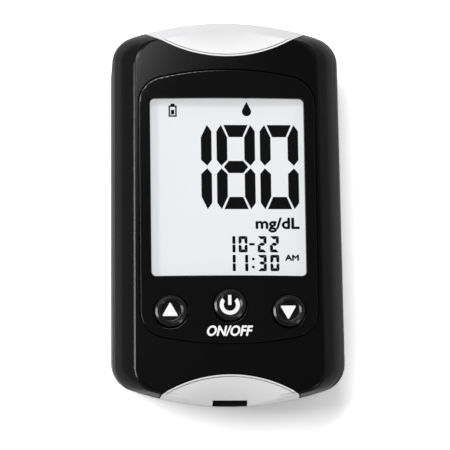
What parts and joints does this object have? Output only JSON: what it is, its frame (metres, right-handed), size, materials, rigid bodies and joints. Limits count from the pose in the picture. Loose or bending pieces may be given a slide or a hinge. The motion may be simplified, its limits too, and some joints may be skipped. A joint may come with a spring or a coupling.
{
  "type": "blood glucose meter",
  "caption": "Handheld blood glucose meter with a large segment display, round keys, silver end caps, a test strip slot and a sliding battery door.",
  "frame": {"origin": "on the table under the middle of the body's box, with the meter lying on its four rubber feet", "axes": "+X to the right of the display, +Y towards the top end of the display, +Z out of the face"},
  "size_m": [0.0646, 0.1098, 0.0247],
  "materials": {
    "cover_black": "fine moulded texture, satin sheen",
    "rear_grey": "fine moulded texture",
    "silver_plastic": "silver paint, satin, faint sparkle",
    "bezel_black": "polished black",
    "clear_window": "clear, polished",
    "lcd": "pale grey display with a matte polariser",
    "guide_white": "milky white",
    "elastomer": "striped conductive rubber",
    "board_green": "green solder mask with copper tracks",
    "button_black": "satin black with a fine rim",
    "plunger_white": "plain moulded",
    "switch_steel": "folded sheet",
    "connector_ivory": "plain moulded",
    "contact_gold": "gold plated",
    "chip_black": "moulded package",
    "shield_nickel": "nickel plated",
    "cell_can": "printed sleeve over a bright can",
    "screw_steel": "zinc plated",
    "foot_rubber": "soft black rubber"
  },
  "bodies": {
    "meter": {"front_cover": "cover_black", "rear_cover": "rear_grey", "top_cap": "silver_plastic", "bottom_cap": "silver_plastic", "bezel_panel": "bezel_black", "display_window": "clear_window", "lcd_glass": "lcd", "light_guide": "guide_white", "elastomer_connector": "elastomer", "main_board": "board_green", "up_switch": "switch_steel", "power_switch": "switch_steel", "down_switch": "switch_steel", "strip_connector": "connector_ivory", "strip_contact_left": "contact_gold", "strip_contact_middle": "contact_gold", "strip_contact_right": "contact_gold", "control_chip": "chip_black", "radio_module": "shield_nickel", "buzzer": "chip_black", "battery_left": "cell_can", "battery_right": "cell_can", "link_contact": "shield_nickel", "positive_contact": "shield_nickel", "negative_contact": "shield_nickel", "screw_top_left": "screw_steel", "screw_top_right": "screw_steel", "screw_bottom_left": "screw_steel", "screw_bottom_right": "screw_steel", "foot_top_left": "foot_rubber", "foot_top_right": "foot_rubber", "foot_bottom_left": "foot_rubber", "foot_bottom_right": "foot_rubber"},
    "up_key": {"up_button": "button_black", "up_plunger": "plunger_white"},
    "power_key": {"power_button": "button_black", "power_plunger": "plunger_white"},
    "down_key": {"down_button": "button_black", "down_plunger": "plunger_white"},
    "door": {"battery_door": "rear_grey"}
  },
  "joints": [
    {"name": "up_press", "type": "slide", "parent": "meter", "child": "up_key", "axis": [0, 0, -1], "range_m": [0, 0.0006], "stiffness_N_per_m": 1200},
    {"name": "power_press", "type": "slide", "parent": "meter", "child": "power_key", "axis": [0, 0, -1], "range_m": [0, 0.0006], "stiffness_N_per_m": 1200},
    {"name": "down_press", "type": "slide", "parent": "meter", "child": "down_key", "axis": [0, 0, -1], "range_m": [0, 0.0006], "stiffness_N_per_m": 1200},
    {"name": "door_slide", "type": "slide", "parent": "meter", "child": "door", "axis": [0, 1, 0], "range_m": [0, 0.05]}
  ]
}
